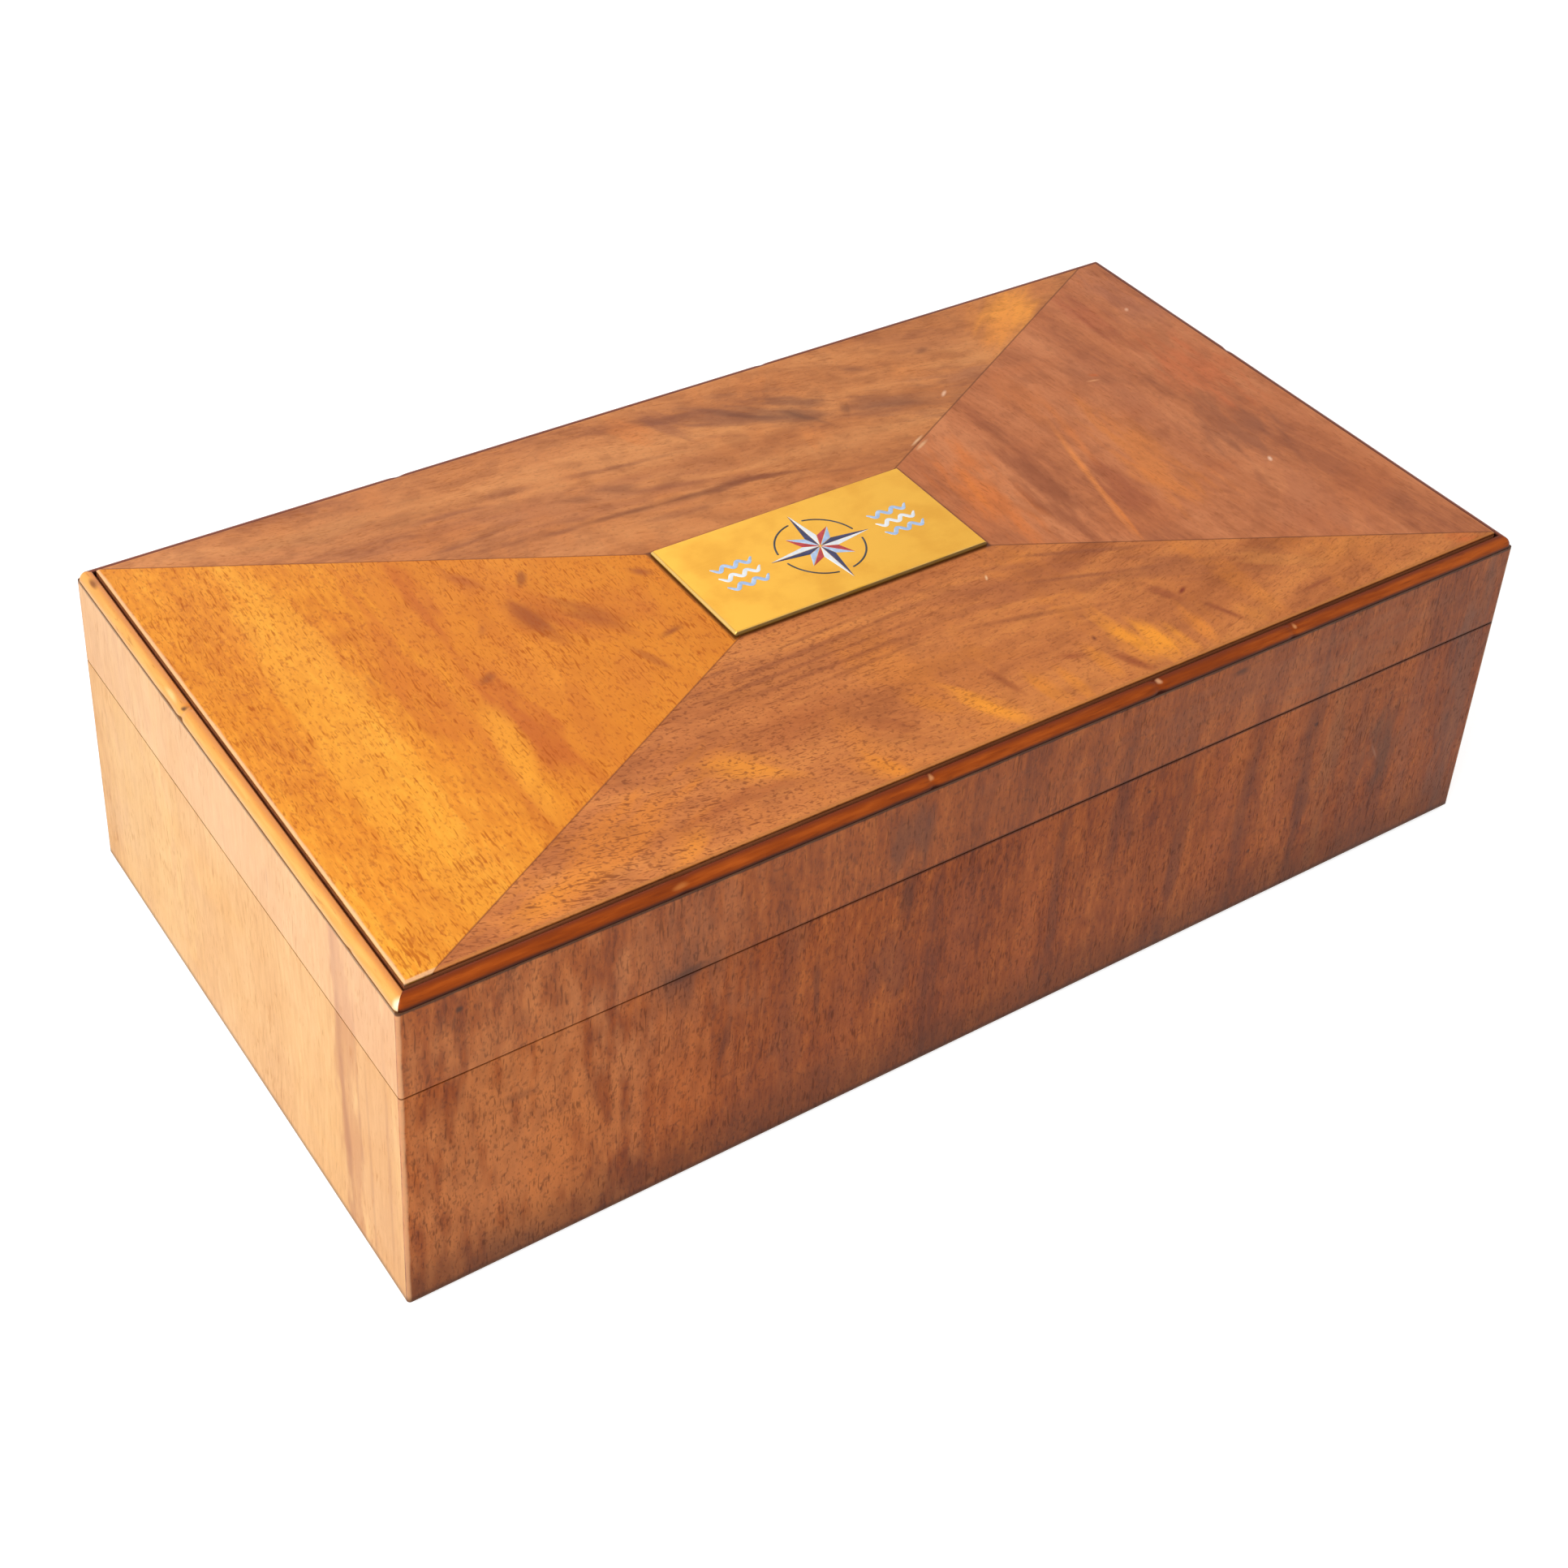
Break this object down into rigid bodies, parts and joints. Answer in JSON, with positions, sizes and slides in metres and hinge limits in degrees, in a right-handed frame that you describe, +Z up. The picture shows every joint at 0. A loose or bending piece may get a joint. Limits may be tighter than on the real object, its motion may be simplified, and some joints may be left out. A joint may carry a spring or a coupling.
{
  "type": "cigarette box",
  "caption": "Rectangular walnut-veneered box with a hinged lid, a raised quartered panel in a bead moulding, a brass plaque and a divided cedar lining.",
  "frame": {"origin": "middle of the rest face, on the underside of the baize", "axes": "X along the length, +Y to the back with the hinges, +Z up"},
  "size_m": [0.254, 0.1363, 0.0744],
  "materials": {
    "core_wood": "planed hardwood, rubbed with wax at the rim",
    "side_veneer": "walnut veneer, upright grain, satin polish",
    "top_veneer": "figured walnut veneer, satin polish",
    "bead_wood": "stained moulding, polished",
    "cedar": "bare cedar",
    "baize": "napped wool cloth",
    "plaque_brass": "satin gilt brass with enamel",
    "hinge_brass": "worn polish",
    "screw_brass": "turned and slotted"
  },
  "bodies": {
    "body": {"back_lining": "cedar", "base_baize": "baize", "body_back_veneer": "side_veneer", "body_back_wall": "core_wood", "body_front_veneer": "side_veneer", "body_front_wall": "core_wood", "body_hinge_screws": "screw_brass", "body_left_veneer": "side_veneer", "body_left_wall": "core_wood", "body_right_veneer": "side_veneer", "body_right_wall": "core_wood", "bottom_board": "core_wood", "floor_lining": "cedar", "front_lining": "cedar", "left_divider": "cedar", "left_hinge_body_leaf": "hinge_brass", "left_hinge_pin": "hinge_brass", "left_lining": "cedar", "right_divider": "cedar", "right_hinge_body_leaf": "hinge_brass", "right_hinge_pin": "hinge_brass", "right_lining": "cedar"},
    "lid": {"back_bead": "bead_wood", "front_bead": "bead_wood", "left_bead": "bead_wood", "left_hinge_lid_leaf": "hinge_brass", "lid_back_rail": "core_wood", "lid_back_veneer": "side_veneer", "lid_board": "core_wood", "lid_front_rail": "core_wood", "lid_front_veneer": "side_veneer", "lid_hinge_screws": "screw_brass", "lid_left_rail": "core_wood", "lid_left_veneer": "side_veneer", "lid_lining": "cedar", "lid_right_rail": "core_wood", "lid_right_veneer": "side_veneer", "plaque": "plaque_brass", "right_bead": "bead_wood", "right_hinge_lid_leaf": "hinge_brass", "top_back_veneer": "top_veneer", "top_front_veneer": "top_veneer", "top_left_veneer": "top_veneer", "top_right_veneer": "top_veneer"}
  },
  "joints": [
    {"name": "lid_hinge", "type": "hinge", "parent": "body", "child": "lid", "pos_m": [0, 0.0673, 0.0512], "axis": [-1, 0, 0], "range_deg": [0, 95]}
  ]
}
